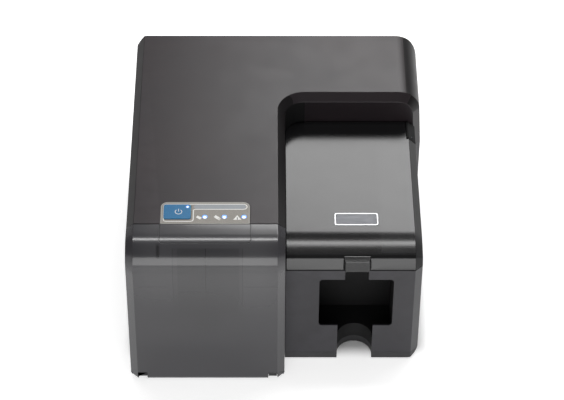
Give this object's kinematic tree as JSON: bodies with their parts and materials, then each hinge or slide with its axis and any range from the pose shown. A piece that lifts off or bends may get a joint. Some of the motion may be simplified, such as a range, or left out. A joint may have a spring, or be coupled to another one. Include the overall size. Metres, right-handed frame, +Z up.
{
  "type": "id card printer",
  "caption": "Desktop card printer with a tilting smoked card door, a hinged ink lid, an output bin, a card lift, roller lanes, a card shuttle and a print head carriage.",
  "frame": {"origin": "middle of the printer's box in plan, on the table under the rubber feet", "axes": "+X to the printer's right as seen from the front, +Y to the rear, +Z up"},
  "size_m": [0.361, 0.3978, 0.2192],
  "materials": {
    "rubber": "matt soft rubber feet",
    "roller_rubber": "dark roller rubber",
    "pan_plastic": "fine grained dark plastic",
    "housing_plastic": "fine grained dark grey plastic",
    "cover_plastic": "satin dark grey plastic",
    "smoked_cover": "smoked translucent grey plastic",
    "inner_plastic": "dark moulded plastic",
    "panel_plastic": "warm grey printed panel",
    "button_plastic": "blue translucent key",
    "lens_plastic": "pale light lens",
    "plate_metal": "zinc plated sheet",
    "shaft_metal": "ground steel",
    "badge_metal": "bare satin metal plate",
    "motor_metal": "dark motor can",
    "gear_plastic": "natural gear plastic",
    "brass": "plain brass",
    "white_plastic": "off-white sliding plastic",
    "latch_plastic": "green touch point plastic",
    "board_green": "circuit board",
    "black_plastic": "black plastic",
    "screw_black": "blackened steel screws"
  },
  "bodies": {
    "housing": {"rubber_feet": "rubber", "base_pan": "pan_plastic", "lower_housing": "housing_plastic", "front_right_housing": "housing_plastic", "top_cover": "cover_plastic", "front_bulkhead": "inner_plastic", "hinge_pins": "shaft_metal", "panel_bezel": "panel_plastic", "button_spring": "shaft_metal", "indicator_lenses": "lens_plastic", "control_board": "board_green", "input_hopper": "inner_plastic", "lift_motor": "motor_metal", "chassis_plate": "plate_metal", "feed_frame": "plate_metal", "feed_motor": "motor_metal", "exit_frame": "plate_metal", "exit_motor": "motor_metal", "shuttle_frame": "plate_metal", "shuttle_rods": "shaft_metal", "shuttle_belt": "roller_rubber", "shuttle_motor": "motor_metal", "gantry_frame": "plate_metal", "gantry_rods": "shaft_metal", "carriage_belt": "roller_rubber", "carriage_motor": "motor_metal", "service_station": "inner_plastic", "output_tray": "inner_plastic", "power_supply": "plate_metal", "main_board": "board_green", "fan_frame": "black_plastic", "power_inlet": "black_plastic", "rear_ports": "plate_metal", "case_screws": "screw_black"},
    "door": {"input_door": "smoked_cover"},
    "lid": {"ink_lid": "smoked_cover", "badge_plate": "badge_metal"},
    "button": {"power_button": "button_plastic"},
    "lift": {"lift_plate": "plate_metal"},
    "lift_screw_turn": {"lift_screw": "shaft_metal"},
    "feed": {"feed_roller": "roller_rubber", "feed_gear": "gear_plastic"},
    "pick": {"pick_roller": "roller_rubber", "pick_gear": "gear_plastic"},
    "pick_idler": {"pick_idler_gear": "gear_plastic"},
    "feed_idler": {"feed_idler_gear": "gear_plastic"},
    "pinion": {"motor_pinion": "brass"},
    "feed_pinch": {"feed_pinch_roller": "shaft_metal"},
    "exit": {"exit_roller": "roller_rubber"},
    "exit_pinch": {"exit_pinch_roller": "shaft_metal"},
    "shuttle": {"card_shuttle": "white_plastic"},
    "shuttle_drive": {"shuttle_drive_pulley": "shaft_metal"},
    "shuttle_idler": {"shuttle_idler_pulley": "shaft_metal"},
    "carriage": {"print_carriage": "inner_plastic", "ink_cartridge": "black_plastic"},
    "latch": {"cartridge_latch": "latch_plastic"},
    "carriage_drive": {"carriage_drive_pulley": "shaft_metal"},
    "carriage_idler": {"carriage_idler_pulley": "shaft_metal"},
    "fan": {"fan_rotor": "black_plastic"},
    "rocker": {"power_switch": "black_plastic"}
  },
  "joints": [
    {"name": "door_tilt", "type": "hinge", "parent": "housing", "child": "door", "pos_m": [-0.0853, -0.1919, 0.0085], "axis": [1, 0, 0], "range_deg": [0, 90]},
    {"name": "lid_tilt", "type": "hinge", "parent": "housing", "child": "lid", "pos_m": [0.0933, 0.0511, 0.1725], "axis": [-1, 0, 0], "range_deg": [0, 85]},
    {"name": "power_press", "type": "slide", "parent": "housing", "child": "button", "axis": [0, 0, -1], "range_m": [0, 0.0012], "stiffness_N_per_m": 800, "springref_m": -0.0008, "deforming": ["button_spring"]},
    {"name": "lift_rise", "type": "slide", "parent": "housing", "child": "lift", "axis": [0, 0, 1], "range_m": [0, 0.072]},
    {"name": "lift_screw_spin", "type": "hinge", "parent": "housing", "child": "lift_screw_turn", "pos_m": [-0.084, -0.0894, 0.06], "axis": [0, 0, 1], "range_deg": [0, 3241]},
    {"name": "feed_spin", "type": "hinge", "parent": "housing", "child": "feed", "pos_m": [-0.084, -0.075, 0.1167], "axis": [1, 0, 0], "continuous": true},
    {"name": "pick_spin", "type": "hinge", "parent": "housing", "child": "pick", "pos_m": [-0.084, -0.1159, 0.1335], "axis": [1, 0, 0], "continuous": true},
    {"name": "feed_idler_spin", "type": "hinge", "parent": "housing", "child": "feed_idler", "pos_m": [-0.1391, -0.08987, 0.12281], "axis": [1, 0, 0], "continuous": true},
    {"name": "pick_idler_spin", "type": "hinge", "parent": "housing", "child": "pick_idler", "pos_m": [-0.1391, -0.10103, 0.12739], "axis": [1, 0, 0], "continuous": true},
    {"name": "pinion_spin", "type": "hinge", "parent": "housing", "child": "pinion", "pos_m": [-0.1391, -0.075, 0.1005], "axis": [1, 0, 0], "continuous": true},
    {"name": "feed_pinch_spin", "type": "hinge", "parent": "housing", "child": "feed_pinch", "pos_m": [-0.084, -0.075, 0.129], "axis": [1, 0, 0], "continuous": true},
    {"name": "exit_spin", "type": "hinge", "parent": "housing", "child": "exit", "pos_m": [0.0933, -0.075, 0.1167], "axis": [1, 0, 0], "continuous": true},
    {"name": "exit_pinch_spin", "type": "hinge", "parent": "housing", "child": "exit_pinch", "pos_m": [0.0933, -0.075, 0.129], "axis": [1, 0, 0], "continuous": true},
    {"name": "shuttle_run", "type": "slide", "parent": "housing", "child": "shuttle", "axis": [1, 0, 0], "range_m": [0, 0.177]},
    {"name": "shuttle_drive_spin", "type": "hinge", "parent": "housing", "child": "shuttle_drive", "pos_m": [-0.113, -0.043, 0.0757], "axis": [0, 1, 0], "range_deg": [0, 1318.1]},
    {"name": "shuttle_idler_spin", "type": "hinge", "parent": "housing", "child": "shuttle_idler", "pos_m": [0.122, -0.043, 0.0757], "axis": [0, 1, 0], "range_deg": [0, 1318.1]},
    {"name": "carriage_run", "type": "slide", "parent": "housing", "child": "carriage", "axis": [0, -1, 0], "range_m": [0, 0.1]},
    {"name": "latch_tip", "type": "hinge", "parent": "carriage", "child": "latch", "pos_m": [0.0324, 0.0066, 0.155], "axis": [1, 0, 0], "range_deg": [0, 45]},
    {"name": "carriage_drive_spin", "type": "hinge", "parent": "housing", "child": "carriage_drive", "pos_m": [0.0564, 0.0386, 0.148], "axis": [1, 0, 0], "range_deg": [0, 745.1]},
    {"name": "carriage_idler_spin", "type": "hinge", "parent": "housing", "child": "carriage_idler", "pos_m": [0.0564, -0.0874, 0.148], "axis": [1, 0, 0], "range_deg": [0, 745.1]},
    {"name": "fan_spin", "type": "hinge", "parent": "housing", "child": "fan", "pos_m": [-0.12, 0.1891, 0.092], "axis": [0, 1, 0], "continuous": true},
    {"name": "rocker_tip", "type": "hinge", "parent": "housing", "child": "rocker", "pos_m": [-0.088, 0.1941, 0.038], "axis": [1, 0, 0], "range_deg": [0, 14]}
  ],
  "couplings": [
    {"joint": "lift_screw_spin", "follows": "lift_rise", "rad_per_m": 785.4},
    {"joint": "pick_spin", "follows": "feed_spin", "ratio": -1},
    {"joint": "feed_idler_spin", "follows": "feed_spin", "ratio": -1.6667},
    {"joint": "pick_idler_spin", "follows": "feed_spin", "ratio": 1.6667},
    {"joint": "pinion_spin", "follows": "feed_spin", "ratio": -1.6667},
    {"joint": "feed_pinch_spin", "follows": "feed_spin", "ratio": -1.5556},
    {"joint": "exit_pinch_spin", "follows": "exit_spin", "ratio": -1.5556},
    {"joint": "shuttle_drive_spin", "follows": "shuttle_run", "rad_per_m": 129.87},
    {"joint": "shuttle_idler_spin", "follows": "shuttle_run", "rad_per_m": 129.87},
    {"joint": "carriage_drive_spin", "follows": "carriage_run", "rad_per_m": 129.87},
    {"joint": "carriage_idler_spin", "follows": "carriage_run", "rad_per_m": 129.87}
  ]
}
